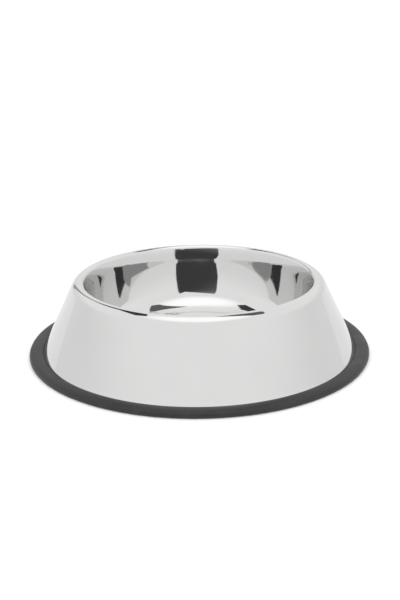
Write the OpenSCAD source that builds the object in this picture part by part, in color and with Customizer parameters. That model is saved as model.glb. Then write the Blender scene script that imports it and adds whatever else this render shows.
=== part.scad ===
// Non-tip feeding bowl: a sheet-steel shell standing in a moulded rubber ring.
// The shell is one drawn sheet: dish, rolled rim, conical skirt and turned-out foot
// flange. The flange sits in a groove of the ring. Both parts are bodies of revolution.
// Millimetres, +Z up, origin at the centre of the face that the bowl stands on.

/* [Overall] */
// Outer diameter of the rubber ring, the widest part
base_d = 254; // [250:1:258]
// Height from the standing face to the crest of the rim
bowl_h = 55.9; // [54:0.1:58]
// Thickness of the steel sheet
sheet_t = 0.6; // [0.5:0.1:0.8]

/* [Rim and dish] */
// Radius of the roll at the rim, on its dish side and over its crest
rim_r = 3.5; // [3:0.1:4]
// Radius of the wider brow that leads from the roll out to the skirt
brow_r = 8.5; // [7:0.5:10]
// Angle above level at which the roll gives way to the brow, in degrees
brow_angle = 72; // [66:1:76]
// Height of the dish floor, on its food side
floor_h = 8; // [6:0.5:12]
// Radius between the dish floor and its wall
corner_r = 20; // [16:1:22]
// Radius of the slow curve of the dish wall, seen in section
wall_r = 110; // [90:5:200]
// Lean of the dish wall out of upright where it is steepest, in degrees
wall_lean = 9.8; // [8:0.1:11]
// Radius of the slight outward flare above the steepest place, seen in section
flare_r = 62; // [50:1:80]
// Lean of the flare out of upright where it meets the roll at the rim, in degrees
flare_lean = 18; // [14:1:22]

/* [Skirt and foot] */
// Radius of the skirt where it meets the foot flange, up to the sheet's outer face
skirt_foot_r = 116.7; // [116:0.1:118]
// Lean of the skirt out of upright, in degrees
skirt_lean = 25.6; // [25:0.1:27]
// Height of the top of the foot flange
flange_top = 3; // [2.8:0.1:3.2]
// Radius of the bend between the skirt and the foot flange
foot_r = 1.5; // [1.2:0.1:1.8]

/* [Rubber ring] */
// Height of the ring at its crown
ring_h = 4.7; // [4.5:0.1:5]
// Inner diameter of the ring, under the flange
ring_inner_d = 230; // [226:1:232]
// Width of rubber between the bottom of the groove and the outer face
ring_wall = 3.6; // [3:0.1:4]
// Clearance between the edge of the flange and the bottom of the groove
groove_end = 0.4; // [0.2:0.1:0.6]
// Gap between the lip of the ring and the skirt
lip_gap = 0.2; // [0.1:0.05:0.3]
// Radius of the gentle crown on top of the ring
crown_r = 14; // [12:1:18]
// Distance from the middle of the crown in to the outer face
crown_in = 5.5; // [5:0.1:6]
// Radius of the upper outer shoulder of the ring
shoulder_r = 2.5; // [2.2:0.1:2.8]
// Radius of the lower outer corner of the ring
heel_r = 1.2; // [0.8:0.1:1.4]

/* [Hidden] */
$fn = 180;
STEEL = [0.80, 0.81, 0.82];
RUBBER = [0.05, 0.05, 0.055];
// Largest angle of one straight step on a tight bend, and on the slow curves of the wall
bend_step = 6;
wall_step = 1.5;

// Unit vector at an angle in the section plane, where x is the radius and y the height
function dir(a) = [cos(a), sin(a)];

// Points along an arc, both ends included, in equal steps of no more than step degrees
function arc(c, r, a_from, a_to, step = bend_step) =
    let (count = ceil(abs(a_to - a_from) / step))
    [for (i = [0:count]) c + r * dir(a_from + (a_to - a_from) * i / count)];

function reversed(points) = [for (i = [len(points) - 1:-1:0]) points[i]];

// The bend at the foot, and the two ends of the skirt
skirt_foot = [skirt_foot_r, flange_top + foot_r * (1 - sin(skirt_lean))];
foot_c = skirt_foot + foot_r * dir(skirt_lean);
brow_to_rim = (brow_r - rim_r) * dir(brow_angle);
brow_y = bowl_h - rim_r - brow_to_rim.y;
skirt_top_y = brow_y + brow_r * sin(skirt_lean);
skirt_top = [skirt_foot.x - (skirt_top_y - skirt_foot.y) * tan(skirt_lean), skirt_top_y];

// Centres of the brow, of the roll at the rim, of the flare, of the wall and of the dish
// corner. Each arc is tangent to the next one.
brow_c = skirt_top - brow_r * dir(skirt_lean);
rim_c = brow_c + brow_to_rim;
flare_c = rim_c + (flare_r - rim_r) * dir(-flare_lean);
wall_c = flare_c + (flare_r + wall_r) * dir(180 - wall_lean);
corner_y = floor_h + corner_r;
corner_run = sqrt((wall_r - corner_r) ^ 2 - (corner_y - wall_c.y) ^ 2);
corner_c = [wall_c.x + corner_run, corner_y];
corner_end_a = atan2(corner_y - wall_c.y, corner_run);

// The ring: its radii, and the centres of the crown and of the two outer corners
base_r = base_d / 2;
ring_inner_r = ring_inner_d / 2;
groove_r = base_r - ring_wall;
flange_r = groove_r - groove_end;
flange_low = flange_top - sheet_t;
crown_c = [base_r - crown_in, ring_h - crown_r];
shoulder_run = crown_in - shoulder_r;
shoulder_y = crown_c.y + sqrt((crown_r - shoulder_r) ^ 2 - shoulder_run ^ 2);
shoulder_c = [base_r - shoulder_r, shoulder_y];
shoulder_a = atan2(shoulder_y - crown_c.y, shoulder_run);
heel_c = [base_r - heel_r, heel_r];

// The lip's inner face runs beside the skirt up to its top edge, which lies on the crown
lip_r = foot_r - lip_gap;
lip_low = foot_c - lip_r * dir(skirt_lean);
lip_y = ring_h - (crown_c.x - lip_low.x) ^ 2 / (2 * crown_r);
lip_top = [lip_low.x - (lip_y - lip_low.y) * tan(skirt_lean), lip_y];
lip_a = atan2(lip_top.y - crown_c.y, lip_top.x - crown_c.x);

// One face of the sheet, from the middle of the dish over the rim to the edge of the
// flange: depth is how far the face lies below the food side and the outer side
function sheet_face(depth) = concat(
    [[0, floor_h - depth]],
    arc(corner_c, corner_r + depth, -90, corner_end_a),
    arc(wall_c, wall_r + depth, corner_end_a, -wall_lean, wall_step),
    arc(flare_c, flare_r - depth, 180 - wall_lean, 180 - flare_lean, wall_step),
    arc(rim_c, rim_r - depth, 180 - flare_lean, brow_angle),
    arc(brow_c, brow_r - depth, brow_angle, skirt_lean),
    arc(foot_c, foot_r + depth, 180 + skirt_lean, 270),
    [[flange_r, flange_top - depth]]
);

// The outline of the ring, from its inner lower corner round the outside to the groove
ring_outline = concat(
    [[ring_inner_r, 0]],
    arc(heel_c, heel_r, -90, 0),
    arc(shoulder_c, shoulder_r, 0, shoulder_a),
    arc(crown_c, crown_r, shoulder_a, lip_a),
    arc(foot_c, lip_r, 180 + skirt_lean, 270),
    [[foot_c.x, flange_top], [groove_r, flange_top], [groove_r, flange_low],
     [ring_inner_r, flange_low]]
);

module steel_bowl() {
    color(STEEL) rotate_extrude() polygon(concat(sheet_face(0), reversed(sheet_face(sheet_t))));
}

module rubber_ring() {
    color(RUBBER) rotate_extrude() polygon(ring_outline);
}

steel_bowl();
rubber_ring();
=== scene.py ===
# %% [markdown]
# # A non-tip feeding bowl
# The real object is two pieces: one sheet of stainless steel, pressed into a dish whose edge
# rolls over and comes down as a wide skirt, and one rubber ring that the skirt's foot snaps
# into. A polished bowl shows almost nothing but its surroundings, so this lesson has two
# halves: the two pieces, drawn as outlines and spun, and the light tent that they mirror.

from math import atan2, cos, degrees, pi, radians, sin, sqrt, tan

import bpy
from mathutils import Matrix, Vector


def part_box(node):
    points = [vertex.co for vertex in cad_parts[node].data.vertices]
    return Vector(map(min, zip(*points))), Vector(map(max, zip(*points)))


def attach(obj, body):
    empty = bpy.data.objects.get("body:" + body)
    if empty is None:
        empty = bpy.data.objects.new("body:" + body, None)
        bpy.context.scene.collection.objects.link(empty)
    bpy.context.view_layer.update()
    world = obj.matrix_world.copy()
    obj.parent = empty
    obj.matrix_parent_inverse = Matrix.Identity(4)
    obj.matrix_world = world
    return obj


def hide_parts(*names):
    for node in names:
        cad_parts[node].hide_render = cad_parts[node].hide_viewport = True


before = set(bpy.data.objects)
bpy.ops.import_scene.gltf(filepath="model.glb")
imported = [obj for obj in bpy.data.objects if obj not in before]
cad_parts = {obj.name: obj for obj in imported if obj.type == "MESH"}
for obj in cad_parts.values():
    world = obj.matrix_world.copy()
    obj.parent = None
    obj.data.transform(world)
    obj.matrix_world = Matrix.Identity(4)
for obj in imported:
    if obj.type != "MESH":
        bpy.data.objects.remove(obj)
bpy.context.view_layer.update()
print("frame nodes:", sorted(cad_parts))

# %% [markdown]
# ## Sizes
# The frame gives the sizes that matter most: how tall the bowl stands and how wide its ring
# is. The others are the working sizes of the section. Blender works in metres, so the
# section is written in millimetres times MM, which keeps the numbers easy to read.

# %% Name the sizes
MM = 0.001
AXIS = (0, 0, 1)
CENTRE = (0, 0, 0)
BOWL, RING = "steel_bowl", "rubber_ring"

bowl_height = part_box(BOWL)[1].z
ring_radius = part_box(RING)[1].x

sheet_thickness = 0.6 * MM
rim_radius = 3.5 * MM
brow_radius = 8.5 * MM
brow_angle = 72
dish_floor = 8 * MM
corner_radius = 20 * MM
wall_radius = 110 * MM
wall_lean = 9.8
flare_radius = 62 * MM
flare_lean = 18
skirt_lean = 25.6
skirt_foot_radius = 116.7 * MM
flange_top = 3 * MM
flange_radius = 123 * MM
foot_radius = 1.5 * MM

ring_inner_radius = 115 * MM
ring_wall = 3.6 * MM
ring_top = 4.7 * MM
lip_gap = 0.2 * MM
crown_radius = 14 * MM
crown_inset = 5.5 * MM
shoulder_radius = 2.5 * MM
heel_radius = 1.2 * MM
print(f"bowl {bowl_height / MM:.1f} mm tall, ring {2 * ring_radius / MM:.1f} mm across")

# %% [markdown]
# ## How the section is drawn
# A turned or pressed shape is one outline carried round an axis. Every bend here is a part
# of a circle, so two small helpers are enough: one gives the way that an angle points, and
# one walks along an arc. The points lie less than a degree apart on the wall's long curves,
# because a mirror shows every flat that an eye would miss on a painted surface.

# %% Helpers for the outlines
BEND_STEP = 5
WALL_STEP = 0.8


def way(angle):
    """The direction of an angle in degrees, in the plane of the section."""
    return Vector((cos(radians(angle)), sin(radians(angle))))


def arc(centre, radius, start, end, step=BEND_STEP):
    """Points along an arc, from one angle to another in degrees."""
    count = max(2, round(abs(end - start) / step))
    return [centre + radius * way(start + (end - start) * i / count) for i in range(count + 1)]


def straight(start, end, count):
    """Points inside a straight stretch, without its two ends."""
    return [start.lerp(end, i / count) for i in range(1, count)]


# %% [markdown]
# ## The steel's outline
# The sheet runs from the middle of the dish out to a rounded corner, up a wall that gets
# steeper and then leans out again, over the rolled rim, down the straight skirt, and out
# into a narrow flange that the rubber hides. Each arc touches the next with the same slope.
# Working out the centres from the outside in keeps it so whatever size is changed.

# %% Work out where the bends are centred
foot_edge = Vector((skirt_foot_radius, flange_top + foot_radius * (1 - sin(radians(skirt_lean)))))
foot_centre = foot_edge + foot_radius * way(skirt_lean)
brow_to_rim = (brow_radius - rim_radius) * way(brow_angle)
brow_z = bowl_height - rim_radius - brow_to_rim.y
skirt_top_z = brow_z + brow_radius * sin(radians(skirt_lean))
skirt_run = (skirt_top_z - foot_edge.y) * tan(radians(skirt_lean))
skirt_top = Vector((foot_edge.x - skirt_run, skirt_top_z))
brow_centre = skirt_top - brow_radius * way(skirt_lean)
rim_centre = brow_centre + brow_to_rim
flare_centre = rim_centre + (flare_radius - rim_radius) * way(-flare_lean)
wall_centre = flare_centre + (flare_radius + wall_radius) * way(180 - wall_lean)
corner_z = dish_floor + corner_radius
corner_run = sqrt((wall_radius - corner_radius) ** 2 - (corner_z - wall_centre.y) ** 2)
corner_centre = Vector((wall_centre.x + corner_run, corner_z))
corner_end = degrees(atan2(corner_z - wall_centre.y, corner_run))
print(f"rim circle {2 * rim_centre.x / MM:.1f} mm, flat floor {2 * corner_centre.x / MM:.1f} mm")

# %% [markdown]
# The flat floor and the straight skirt get extra points as well. They cost little, and they
# keep the long faces from being stretched thin when the sheet is spun.

# %% Lay out the steel's outline
FLOOR_RINGS = 14
SKIRT_RINGS = 20

floor_middle = Vector((0, dish_floor))
floor_edge = Vector((corner_centre.x, dish_floor))
steel_outline = [floor_middle]
steel_outline += straight(floor_middle, floor_edge, FLOOR_RINGS)
steel_outline += arc(corner_centre, corner_radius, -90, corner_end, 3)
steel_outline += arc(wall_centre, wall_radius, corner_end, -wall_lean, WALL_STEP)[1:]
steel_outline += arc(flare_centre, flare_radius, 180 - wall_lean, 180 - flare_lean, WALL_STEP)[1:]
steel_outline += arc(rim_centre, rim_radius, 180 - flare_lean, brow_angle)[1:]
steel_outline += arc(brow_centre, brow_radius, brow_angle, skirt_lean, 3)[1:-1]
steel_outline += [skirt_top]
steel_outline += straight(skirt_top, foot_edge, SKIRT_RINGS)
steel_outline += arc(foot_centre, foot_radius, 180 + skirt_lean, 270, 9)
steel_outline += [Vector((flange_radius, flange_top))]
print("points in the steel's outline:", len(steel_outline))

# %% [markdown]
# ## Drawing an outline and spinning it
# By hand, this is: add something small, merge it to one vertex, then extrude that vertex
# from place to place. The spin tool turns the chain into a surface. A full turn leaves a
# double row of points at the seam and a knot of them at the axis, so the doubles are merged
# first, and the normals are worked out after that, on a mesh that is closed all round.

# %% Helpers that draw and spin
SPIN_STEPS = 256
MERGE_DISTANCE = 0.002 * MM


def clear_selection():
    """Nothing selected, in object mode."""
    if bpy.context.object and bpy.context.object.mode != "OBJECT":
        bpy.ops.object.mode_set(mode="OBJECT")
    bpy.ops.object.select_all(action="DESELECT")


def draw_outline(name, points, closed=False):
    """A chain of edges in the XZ plane, drawn by extruding one vertex along the points."""
    clear_selection()
    bpy.ops.mesh.primitive_plane_add(size=MM, location=CENTRE)
    chain = bpy.context.active_object
    chain.name = name
    chain.data.name = name
    bpy.ops.object.mode_set(mode="EDIT")
    bpy.ops.mesh.select_all(action="SELECT")
    bpy.ops.mesh.merge(type="CENTER")
    bpy.ops.transform.translate(value=(points[0].x, 0, points[0].y))
    for here, there in zip(points, points[1:]):
        step = (there.x - here.x, 0, there.y - here.y)
        bpy.ops.mesh.extrude_region_move(TRANSFORM_OT_translate={"value": step})
    if closed:
        close_outline()
    bpy.ops.object.mode_set(mode="OBJECT")
    return chain


def close_outline():
    """Joins the two loose ends of the chain with one more edge."""
    bpy.ops.mesh.select_mode(type="VERT")
    bpy.ops.mesh.select_all(action="DESELECT")
    bpy.ops.object.mode_set(mode="OBJECT")
    mesh = bpy.context.object.data
    ends = (mesh.vertices[0], mesh.vertices[len(mesh.vertices) - 1])
    for vertex in ends:
        vertex.select = True
    bpy.ops.object.mode_set(mode="EDIT")
    bpy.ops.mesh.edge_face_add()


def spin_outline(piece):
    """Carries the chain once round the axis and closes the seam and the middle."""
    clear_selection()
    piece.select_set(True)
    bpy.context.view_layer.objects.active = piece
    bpy.ops.object.mode_set(mode="EDIT")
    bpy.ops.mesh.select_all(action="SELECT")
    bpy.ops.mesh.spin(steps=SPIN_STEPS, angle=2 * pi, center=CENTRE, axis=AXIS)
    bpy.ops.mesh.select_all(action="SELECT")
    bpy.ops.mesh.remove_doubles(threshold=MERGE_DISTANCE)
    bpy.ops.mesh.normals_make_consistent(inside=False)
    bpy.ops.object.mode_set(mode="OBJECT")
    print(piece.name, "spun:", len(piece.data.polygons), "faces")


# %% [markdown]
# ## The steel bowl
# Solidify gives the sheet its wall. The normals of the spun sheet have to point to the
# polished side, because the wall grows on the other side of them. An open sheet has no true
# inside, so the helper looks at one face of the skirt, and turns the sheet if it is wrong.

# %% Model the bowl
SHARP_ANGLE = radians(40)


def turn_polished_side_out(piece):
    """Flips the sheet if the skirt's faces look towards the axis."""
    skirt = max(piece.data.polygons, key=lambda face: face.area * (face.center.z > dish_floor))
    outward = Vector((skirt.center.x, skirt.center.y, 0))
    if skirt.normal.dot(outward) > 0:
        return
    bpy.ops.object.mode_set(mode="EDIT")
    bpy.ops.mesh.select_all(action="SELECT")
    bpy.ops.mesh.flip_normals()
    bpy.ops.object.mode_set(mode="OBJECT")


def smooth(piece):
    """Smooth shading, with only the cut edges left sharp."""
    clear_selection()
    piece.select_set(True)
    bpy.context.view_layer.objects.active = piece
    bpy.ops.object.shade_smooth_by_angle(angle=SHARP_ANGLE)


def apply_sheet_thickness(piece, thickness):
    """A wall of even thickness, behind the face that was drawn."""
    solidify = piece.modifiers.new("sheet", "SOLIDIFY")
    solidify.thickness = thickness
    solidify.offset = -1
    solidify.use_even_offset = True
    clear_selection()
    piece.select_set(True)
    bpy.context.view_layer.objects.active = piece
    bpy.ops.object.modifier_apply(modifier=solidify.name)


bowl = draw_outline("polished_bowl", steel_outline)
spin_outline(bowl)
turn_polished_side_out(bowl)
apply_sheet_thickness(bowl, sheet_thickness)
smooth(bowl)
print("bowl triangles:", sum(len(face.vertices) - 2 for face in bowl.data.polygons))

# %% [markdown]
# ## The rubber ring
# The ring is moulded: a flat foot, a rounded heel and shoulder, a gently crowned top, and a
# thin lip that closes on the skirt just above the flange. Its inner side holds the groove
# that the flange sits in. The outline is closed, so the spun ring is solid without a
# Solidify.

# %% Model the ring
groove_radius = ring_radius - ring_wall
flange_low = flange_top - sheet_thickness
crown_centre = Vector((ring_radius - crown_inset, ring_top - crown_radius))
shoulder_x = ring_radius - shoulder_radius
shoulder_run = shoulder_x - crown_centre.x
shoulder_rise = sqrt((crown_radius - shoulder_radius) ** 2 - shoulder_run ** 2)
shoulder_centre = Vector((shoulder_x, crown_centre.y + shoulder_rise))
shoulder_angle = degrees(atan2(shoulder_rise, shoulder_run))
heel_centre = Vector((ring_radius - heel_radius, heel_radius))
lip_radius = foot_radius - lip_gap
lip_low = foot_centre - lip_radius * way(skirt_lean)
lip_z = ring_top - (crown_centre.x - lip_low.x) ** 2 / (2 * crown_radius)
lip_top = Vector((lip_low.x - (lip_z - lip_low.y) * tan(radians(skirt_lean)), lip_z))
lip_angle = degrees(atan2(lip_z - crown_centre.y, lip_top.x - crown_centre.x))

ring_outline = [Vector((ring_inner_radius, 0))]
ring_outline += arc(heel_centre, heel_radius, -90, 0, 9)
ring_outline += arc(shoulder_centre, shoulder_radius, 0, shoulder_angle, 7)
ring_outline += arc(crown_centre, crown_radius, shoulder_angle, lip_angle, 3)[1:]
ring_outline += arc(foot_centre, lip_radius, 180 + skirt_lean, 270, 9)
ring_outline += [Vector((groove_radius, flange_top + lip_gap)), Vector((groove_radius, flange_low))]
ring_outline += [Vector((ring_inner_radius, flange_low))]

ring = draw_outline("rubber_foot_ring", ring_outline, closed=True)
spin_outline(ring)
smooth(ring)
print("ring triangles:", sum(len(face.vertices) - 2 for face in ring.data.polygons))

# %% [markdown]
# ## Node helpers for the finishes
# A finish is a small net of nodes. These helpers add a node, set its values and plug in what
# feeds it, so that each finish below reads as a list of what it is made of.

# %% Helpers for the nodes


def new_finish(name):
    """An empty material with its output and one Principled shader."""
    finish = bpy.data.materials.new(name)
    finish.use_nodes = True
    return finish, finish.node_tree, finish.node_tree.nodes["Principled BSDF"]


def add_node(tree, kind, settings=None, **inputs):
    """Adds a node, sets its properties, and sets or links its inputs by name."""
    node = tree.nodes.new(kind)
    for key, value in (settings or {}).items():
        setattr(node, key, value)
    for key, value in inputs.items():
        socket = node.inputs[key.replace("_", " ")]
        if isinstance(value, bpy.types.NodeSocket):
            tree.links.new(value, socket)
        else:
            socket.default_value = value
    return node


def calc(tree, operation, first, second=0.0, third=0.0, clamp=False):
    """One Math node; each value is a number or another node's output."""
    node = add_node(tree, "ShaderNodeMath", {"operation": operation, "use_clamp": clamp})
    for socket, value in zip(node.inputs, (first, second, third)):
        if isinstance(value, bpy.types.NodeSocket):
            tree.links.new(value, socket)
        else:
            socket.default_value = value
    return node.outputs[0]


def blend_range(tree, value, low, high, at_low, at_high):
    """Follows a value from one range into another, smoothly, and stops at the ends."""
    node = add_node(tree, "ShaderNodeMapRange", {"interpolation_type": "SMOOTHSTEP"}, Value=value)
    for socket, number in zip(node.inputs[1:5], (low, high, at_low, at_high)):
        socket.default_value = number
    return node.outputs[0]


def object_place(tree):
    """The point on the piece, and its distance from the axis."""
    place = add_node(tree, "ShaderNodeTexCoord").outputs["Object"]
    parts = add_node(tree, "ShaderNodeSeparateXYZ", Vector=place)
    across = calc(tree, "POWER", parts.outputs["X"], 2)
    along = calc(tree, "POWER", parts.outputs["Y"], 2)
    radius = calc(tree, "SQRT", calc(tree, "ADD", across, along))
    return place, parts, radius


# %% [markdown]
# ## Polished steel
# The steel here gives back about seven tenths of the light, a little less blue than red. The
# polishing mop leaves rings that follow the turning bowl, a fifth of a millimetre apart or
# finer. Noise read at (radius, height) instead of (x, y, z) gives rings, because it hardly
# changes around the axis. The rings go to the bump, and on the flat floor two sets of crossed
# scratches take their place. Broad bands and smears go to the roughness. The underside of
# the flat floor was never mopped, so it is duller.

# %% Make the steel finish
CLEAN_STEEL = (0.720, 0.720, 0.715, 1)
SMEARED_STEEL = (0.680, 0.680, 0.677, 1)
GRAIN_TURN = radians(38)
CROSS_TURN = radians(-41)
SCRATCH_STRETCH = (900, 40, 900)


def polished_steel():
    """A mirror with mop rings, crossed scratches, faint smears and a dull underside."""
    finish, tree, steel = new_finish("polished_steel")
    place, parts, radius = object_place(tree)
    height = parts.outputs["Z"]
    turn = calc(tree, "ARCTAN2", parts.outputs["Y"], parts.outputs["X"])

    ring_place = add_node(tree, "ShaderNodeCombineXYZ", X=radius, Y=calc(tree, "MULTIPLY", turn, 0.0004),
                          Z=height)
    rings = add_node(tree, "ShaderNodeTexNoise", Vector=ring_place.outputs[0], Scale=5200.0,
                     Detail=3.0, Roughness=0.6)
    bands = add_node(tree, "ShaderNodeTexNoise", Vector=ring_place.outputs[0], Scale=420.0,
                     Detail=2.0, Roughness=0.5)
    long_way = add_node(tree, "ShaderNodeMapping", Vector=place, Rotation=(0, 0, GRAIN_TURN),
                        Scale=SCRATCH_STRETCH)
    scratches = add_node(tree, "ShaderNodeTexNoise", Vector=long_way.outputs[0], Scale=6.0,
                         Detail=4.0, Roughness=0.7)
    cross_way = add_node(tree, "ShaderNodeMapping", Vector=place, Rotation=(0, 0, CROSS_TURN),
                         Scale=SCRATCH_STRETCH)
    cross = add_node(tree, "ShaderNodeTexNoise", Vector=cross_way.outputs[0], Scale=6.0,
                     Detail=4.0, Roughness=0.7)
    smears = add_node(tree, "ShaderNodeTexNoise", Vector=place, Scale=38.0, Detail=5.0,
                      Roughness=0.55)

    on_floor = blend_range(tree, radius, 58 * MM, 66 * MM, 1.0, 0.0)
    floor_only = calc(tree, "MULTIPLY", on_floor, blend_range(tree, height, 6 * MM, 7.8 * MM, 0.0, 1.0))
    fine = calc(tree, "ADD", scratches.outputs["Fac"], cross.outputs["Fac"])
    fine = calc(tree, "MULTIPLY", fine, 0.5)
    marks = calc(tree, "MULTIPLY_ADD", floor_only, calc(tree, "SUBTRACT", fine, rings.outputs["Fac"]),
                 rings.outputs["Fac"])

    gloss = blend_range(tree, smears.outputs["Fac"], 0.35, 0.75, 0.03, 0.075)
    gloss = calc(tree, "MULTIPLY_ADD", floor_only, 0.05, gloss)
    gloss = calc(tree, "MULTIPLY_ADD", calc(tree, "SUBTRACT", bands.outputs["Fac"], 0.5), 0.05, gloss)
    dull = hidden_side(tree, radius, height)
    gloss = calc(tree, "MULTIPLY_ADD", dull, 0.28, gloss, clamp=True)
    tree.links.new(gloss, steel.inputs["Roughness"])

    tone = add_node(tree, "ShaderNodeMix", {"data_type": "RGBA"})
    tree.links.new(smears.outputs["Fac"], tone.inputs["Factor"])
    tone.inputs["A"].default_value = CLEAN_STEEL
    tone.inputs["B"].default_value = SMEARED_STEEL
    tree.links.new(tone.outputs["Result"], steel.inputs["Base Color"])

    bump = add_node(tree, "ShaderNodeBump", Height=marks, Strength=0.06, Distance=0.01 * MM)
    tree.links.new(bump.outputs[0], steel.inputs["Normal"])
    steel.inputs["Metallic"].default_value = 1.0
    return finish


def hidden_side(tree, radius, height):
    """1 on the underside of the flat floor, 0 on its polished side and everywhere above."""
    under = blend_range(tree, height, 7.45 * MM, 7.7 * MM, 1.0, 0.0)
    inside = blend_range(tree, radius, 112 * MM, 114 * MM, 1.0, 0.0)
    return calc(tree, "MULTIPLY", under, inside)


bowl.data.materials.clear()
bowl.data.materials.append(polished_steel())
print("steel finish on", bowl.name)

# %% [markdown]
# ## Black rubber
# Moulded rubber is not smooth: the mould was blasted, so the skin has a fine even grain, and
# dust and handling leave it a little greyer on top. It is nearly black and only half dull,
# so the top picks up a broad grey sheen from the room above it.

# %% Make the rubber finish
DEEP_RUBBER = (0.012, 0.012, 0.013, 1)
BLOOMED_RUBBER = (0.021, 0.021, 0.022, 1)
DUST = (0.16, 0.155, 0.15, 1)


def black_rubber():
    """Satin black with a mould grain, a soft bloom and specks of dust."""
    finish, tree, rubber = new_finish("black_rubber")
    place = add_node(tree, "ShaderNodeTexCoord").outputs["Object"]
    grain = add_node(tree, "ShaderNodeTexNoise", Vector=place, Scale=2600.0, Detail=3.0,
                     Roughness=0.6)
    bloom = add_node(tree, "ShaderNodeTexNoise", Vector=place, Scale=55.0, Detail=5.0,
                     Roughness=0.6)
    dust = add_node(tree, "ShaderNodeTexVoronoi", Vector=place, Scale=620.0)
    specks = blend_range(tree, dust.outputs["Distance"], 0.04, 0.10, 1.0, 0.0)
    patches = blend_range(tree, bloom.outputs["Fac"], 0.45, 0.70, 0.0, 1.0)
    dusty = calc(tree, "MULTIPLY", specks, patches)

    tone = add_node(tree, "ShaderNodeMix", {"data_type": "RGBA"})
    tree.links.new(patches, tone.inputs["Factor"])
    tone.inputs["A"].default_value = DEEP_RUBBER
    tone.inputs["B"].default_value = BLOOMED_RUBBER
    speckled = add_node(tree, "ShaderNodeMix", {"data_type": "RGBA"})
    tree.links.new(calc(tree, "MULTIPLY", dusty, 0.35), speckled.inputs["Factor"])
    tree.links.new(tone.outputs["Result"], speckled.inputs["A"])
    speckled.inputs["B"].default_value = DUST
    tree.links.new(speckled.outputs["Result"], rubber.inputs["Base Color"])

    gloss = blend_range(tree, bloom.outputs["Fac"], 0.3, 0.7, 0.42, 0.54)
    tree.links.new(gloss, rubber.inputs["Roughness"])
    bump = add_node(tree, "ShaderNodeBump", Height=grain.outputs["Fac"], Strength=0.25,
                    Distance=0.05 * MM)
    tree.links.new(bump.outputs[0], rubber.inputs["Normal"])
    rubber.inputs["Specular IOR Level"].default_value = 0.5
    return finish


ring.data.materials.clear()
ring.data.materials.append(black_rubber())
print("rubber finish on", ring.name)

# %% [markdown]
# ## Tie the pieces to the frame
# Both pieces ride on the one body that this object has, and each stands for its own plain
# solid, which stays behind for weight and contact.

# %% Ride and replace
for piece, node, slot in ((bowl, BOWL, "polished_steel"), (ring, RING, "black_rubber")):
    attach(piece, "root")
    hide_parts(node)
    print(piece.name, "stands for", node)

# %% [markdown]
# ## The camera
# A longish lens about 0.7 m away, looking down at between eighteen and nineteen degrees, so
# that the far wall of the dish and the whole skirt are both in view. It is tilted by less
# than a degree about its own axis.

# %% Place the camera
IMAGE_HEIGHT = 600
SENSOR = 36
FOCAL_LENGTH = 954.4 * SENSOR / IMAGE_HEIGHT
CAMERA_PLACE = Vector((0.0009, -0.6756, 0.2642))
LOOK_DOWN = 18.584
TILT = -0.681

clear_selection()
bpy.ops.object.camera_add(location=CAMERA_PLACE)
camera = bpy.context.active_object
camera.name = "camera"
camera.data.lens = FOCAL_LENGTH
camera.data.sensor_width = SENSOR
camera.data.clip_end = 60
looking = Matrix.Rotation(radians(90 - LOOK_DOWN), 4, "X") @ Matrix.Rotation(radians(TILT), 4, "Z")
camera.matrix_world = Matrix.Translation(CAMERA_PLACE) @ looking
bpy.context.scene.camera = camera
print(f"camera {CAMERA_PLACE.length:.3f} m away, lens {FOCAL_LENGTH:.1f} mm")

# %% [markdown]
# ## The floor
# One wide pale disc, a little brighter than the camera can show, so that it is plain white
# except where the ring keeps the light off it. The steel would mirror that glare, and the
# skirt's edge would be lost against it, so in the steel the floor shows as an even white that
# is a little below the camera's limit. No real floor does that, but it keeps the edge clear.

# %% Lay the floor
FLOOR_RADIUS = 30
FLOOR_SIDES = 96
FLOOR_PALE = 0.86
FLOOR_ROUGHNESS = 0.9
FLOOR_IN_STEEL = 0.96

clear_selection()
bpy.ops.mesh.primitive_circle_add(vertices=FLOOR_SIDES, radius=FLOOR_RADIUS, fill_type="NGON",
                                  location=CENTRE)
floor = bpy.context.active_object
floor.name = "studio_floor"
floor_finish, floor_tree, floor_shader = new_finish("studio_floor")
floor_shader.inputs["Base Color"].default_value = (FLOOR_PALE, FLOOR_PALE, FLOOR_PALE, 1)
floor_shader.inputs["Roughness"].default_value = FLOOR_ROUGHNESS
floor_shader.inputs["Specular IOR Level"].default_value = 0.0
floor_in_mirror = add_node(floor_tree, "ShaderNodeEmission", Color=(1, 1, 1, 1),
                           Strength=FLOOR_IN_STEEL)
floor_ray = add_node(floor_tree, "ShaderNodeLightPath")
floor_mix = add_node(floor_tree, "ShaderNodeMixShader")
floor_tree.links.new(floor_ray.outputs["Is Glossy Ray"], floor_mix.inputs[0])
floor_tree.links.new(floor_shader.outputs[0], floor_mix.inputs[1])
floor_tree.links.new(floor_in_mirror.outputs[0], floor_mix.inputs[2])
floor_tree.links.new(floor_mix.outputs[0], floor_tree.nodes["Material Output"].inputs["Surface"])
floor.data.materials.append(floor_finish)
print("floor laid")

# %% [markdown]
# ## The light tent
# A mirror-like thing is lit in a white tent, and black cards hang where the metal should
# show a dark shape. The tent here is the world. Its walls are even, soft and white, a little
# brighter above than near the floor, and a small roof light hangs almost straight up, leaning
# towards the lens. The lens sees plain white behind the object, which is what the Camera Ray
# output is for, and the floor gets its own even light. A bowl throws light from wall to
# wall, so the rays are let bounce more often than usual.

# %% Light the tent
WALL_LIGHT = 0.888
SKY_LIGHT = 1.024
ROOF_LIGHT = 0.376
FLOOR_LIGHT = 1.4
WALL_FOOT, WALL_HEAD = 82, 62
ROOF_EDGE, ROOF_FULL = 34, 12
ROOF_LEAN = 5
PLAIN_WHITE = 1.0
MIRROR_BOUNCES = 16

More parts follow.
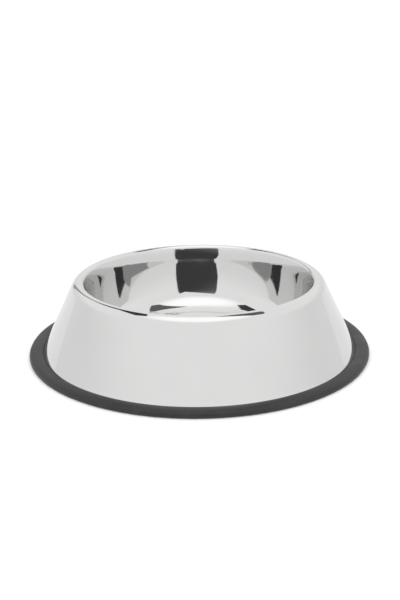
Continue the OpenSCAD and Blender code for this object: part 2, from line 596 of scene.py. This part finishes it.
world = bpy.data.worlds.new("light_tent")
bpy.context.scene.world = world
world.use_nodes = True
tent = world.node_tree
tent.nodes.clear()
outward_way = add_node(tent, "ShaderNodeTexCoord").outputs["Generated"]
upward = add_node(tent, "ShaderNodeSeparateXYZ", Vector=outward_way).outputs["Z"]
toward_roof = add_node(tent, "ShaderNodeVectorMath", {"operation": "DOT_PRODUCT"}).outputs["Value"]
tent.links.new(outward_way, toward_roof.node.inputs[0])
toward_roof.node.inputs[1].default_value = (0, -sin(radians(ROOF_LEAN)), cos(radians(ROOF_LEAN)))
sides = blend_range(tent, upward, cos(radians(WALL_FOOT)), cos(radians(WALL_HEAD)),
                    WALL_LIGHT, SKY_LIGHT)
roof = blend_range(tent, toward_roof, cos(radians(ROOF_EDGE)), cos(radians(ROOF_FULL)),
                   0.0, ROOF_LIGHT)
tent_light = calc(tent, "ADD", sides, roof)
ray = add_node(tent, "ShaderNodeLightPath")
lit = add_node(tent, "ShaderNodeMix", {"data_type": "FLOAT"})
tent.links.new(ray.outputs["Is Diffuse Ray"], lit.inputs["Factor"])
tent.links.new(tent_light, lit.inputs["A"])
lit.inputs["B"].default_value = FLOOR_LIGHT
seen = add_node(tent, "ShaderNodeMix", {"data_type": "FLOAT"})
tent.links.new(ray.outputs["Is Camera Ray"], seen.inputs["Factor"])
tent.links.new(lit.outputs["Result"], seen.inputs["A"])
seen.inputs["B"].default_value = PLAIN_WHITE
backdrop = add_node(tent, "ShaderNodeBackground", Color=(1, 1, 1, 1),
                    Strength=seen.outputs["Result"])
add_node(tent, "ShaderNodeOutputWorld", Surface=backdrop.outputs[0])
bpy.context.scene.view_settings.view_transform = "Standard"
bpy.context.scene.cycles.max_bounces = MIRROR_BOUNCES
bpy.context.scene.cycles.glossy_bounces = MIRROR_BOUNCES
print("tent light from", WALL_LIGHT, "at the foot of the walls to", SKY_LIGHT + ROOF_LIGHT, "overhead")

# %% [markdown]
# ## Black cards
# The cards are cut by their corners, and a corner is a place on a map of the tent as the bowl
# sees it. The middle of the map is straight overhead, and 90 degrees out from the middle, all
# round, is the level of the floor. Across the map is +X, and down the map is towards the
# lens. The cards are left out of the camera's own rays and of the soft light, so only the
# steel sees them. The first one is the gap that the lens looks through. A card can be given
# another brightness for its second mirror image, which no real card has: it is a correction
# to the light, and it leaves the steel itself alone.

# %% Hang the cards
TENT_RADIUS = 24
DARKEST = 0.055
GREY = 0.42
STRIP_AT_FIRST = 0.14
AFTER_FIRST_BOUNCE = 1.5


def tent_point(across, along):
    """A place on the tent, from its place on the map in degrees."""
    outward = sqrt(across ** 2 + along ** 2)
    level = TENT_RADIUS * sin(radians(outward)) / outward
    return Vector((level * across, level * along, TENT_RADIUS * cos(radians(outward))))


def card_finish(name, brightness):
    """A card that gives the same grey in every direction."""
    finish = bpy.data.materials.new(name)
    finish.use_nodes = True
    finish.node_tree.nodes.clear()
    glow = add_node(finish.node_tree, "ShaderNodeEmission", Color=(1, 1, 1, 1), Strength=brightness)
    add_node(finish.node_tree, "ShaderNodeOutputMaterial", Surface=glow.outputs[0])
    return finish


def set_by_bounce(tree, direct, again):
    """Gives a card one brightness in its first mirror image and another in later ones."""
    bounce = add_node(tree, "ShaderNodeLightPath").outputs["Ray Depth"]
    later = calc(tree, "GREATER_THAN", bounce, AFTER_FIRST_BOUNCE)
    first_part = calc(tree, "MULTIPLY", calc(tree, "SUBTRACT", 1.0, later), direct)
    strength = calc(tree, "MULTIPLY_ADD", later, again, first_part)
    tree.links.new(strength, tree.nodes["Emission"].inputs["Strength"])


def hang_card(name, corners, finish):
    """One flat-sided card, cut by its corners on the map of the tent."""
    clear_selection()
    bpy.ops.mesh.primitive_circle_add(vertices=len(corners), fill_type="NGON", location=CENTRE)
    card = bpy.context.active_object
    card.name = name
    for vertex, corner in zip(card.data.vertices, corners):
        vertex.co = tent_point(*corner)
    card.data.materials.append(finish)
    card.visible_camera = False
    card.visible_diffuse = False
    card.visible_shadow = False
    return card


black_card = card_finish("black_card", DARKEST)
grey_card = card_finish("grey_card", GREY)
strip_card = card_finish("strip_card", DARKEST)
set_by_bounce(strip_card.node_tree, STRIP_AT_FIRST, DARKEST)
hang_card("lens_gap", [(-15, -63.5), (-16, -78), (-26, -77), (-24, -87), (4, -88), (32, -84), (33, -76),
                       (20, -78), (18, -63), (10, -64.5), (0, -65), (-8, -64.5)], black_card)
hang_card("right_strip", [(4, 22), (10, 31), (17, 31), (25, 18), (32, 4), (26, 1), (12, 14)], strip_card)
hang_card("left_strip", [(-14, 30), (-22, 8), (-30, 6), (-26, 30), (-30, 45), (-22, 44)], black_card)
hang_card("left_strip_end", [(-30, 45), (-44, 76), (-36, 79), (-22, 44)], grey_card)

# %% [markdown]
# ## The lens hood
# One card hangs close by, over the front half of the dish. It is black on the side of the far
# wall and clear from behind, so it deepens the gap that the far wall mirrors, while the skirt
# in front never meets its black side and stays light. It fades to a dark grey towards one
# upper corner, and to a mid grey in its second mirror image.

# %% Hang the hood
HOOD_DISTANCE = 0.06
HOOD_SLANT = -0.3
HOOD_FADE = (0.08, 0.150)
HOOD_PALEST = 0.25
HOOD_CORNERS = [(-0.034, 0.0575), (0.0445, 0.0575), (0.047, 0.075), (0.0475, 0.135), (0.031, 0.108),
                (-0.0405, 0.150), (-0.0395, 0.075)]


def one_sided_black():
    """Black from the front and clear from behind, paler towards the top of its -X side."""
    finish = card_finish("hood_black", DARKEST)
    tree = finish.node_tree
    parts = add_node(tree, "ShaderNodeSeparateXYZ",
                     Vector=add_node(tree, "ShaderNodeTexCoord").outputs["Object"])
    slope = calc(tree, "MULTIPLY_ADD", parts.outputs["X"], HOOD_SLANT, parts.outputs["Z"])
    direct = blend_range(tree, slope, *HOOD_FADE, DARKEST, HOOD_PALEST)
    set_by_bounce(tree, direct, GREY)
    side = add_node(tree, "ShaderNodeNewGeometry").outputs["Backfacing"]
    clear = add_node(tree, "ShaderNodeBsdfTransparent")
    chosen = add_node(tree, "ShaderNodeMixShader")
    tree.links.new(side, chosen.inputs[0])
    tree.links.new(tree.nodes["Emission"].outputs[0], chosen.inputs[1])
    tree.links.new(clear.outputs[0], chosen.inputs[2])
    tree.links.new(chosen.outputs[0], tree.nodes["Material Output"].inputs["Surface"])
    return finish


hood = hang_card("lens_hood", [(1, 1)] * len(HOOD_CORNERS), one_sided_black())
for vertex, (across, height) in zip(hood.data.vertices, reversed(HOOD_CORNERS)):
    vertex.co = (across, -HOOD_DISTANCE, height)
hood.data.update()
print("hood faces", [round(value) for value in hood.data.polygons[0].normal])
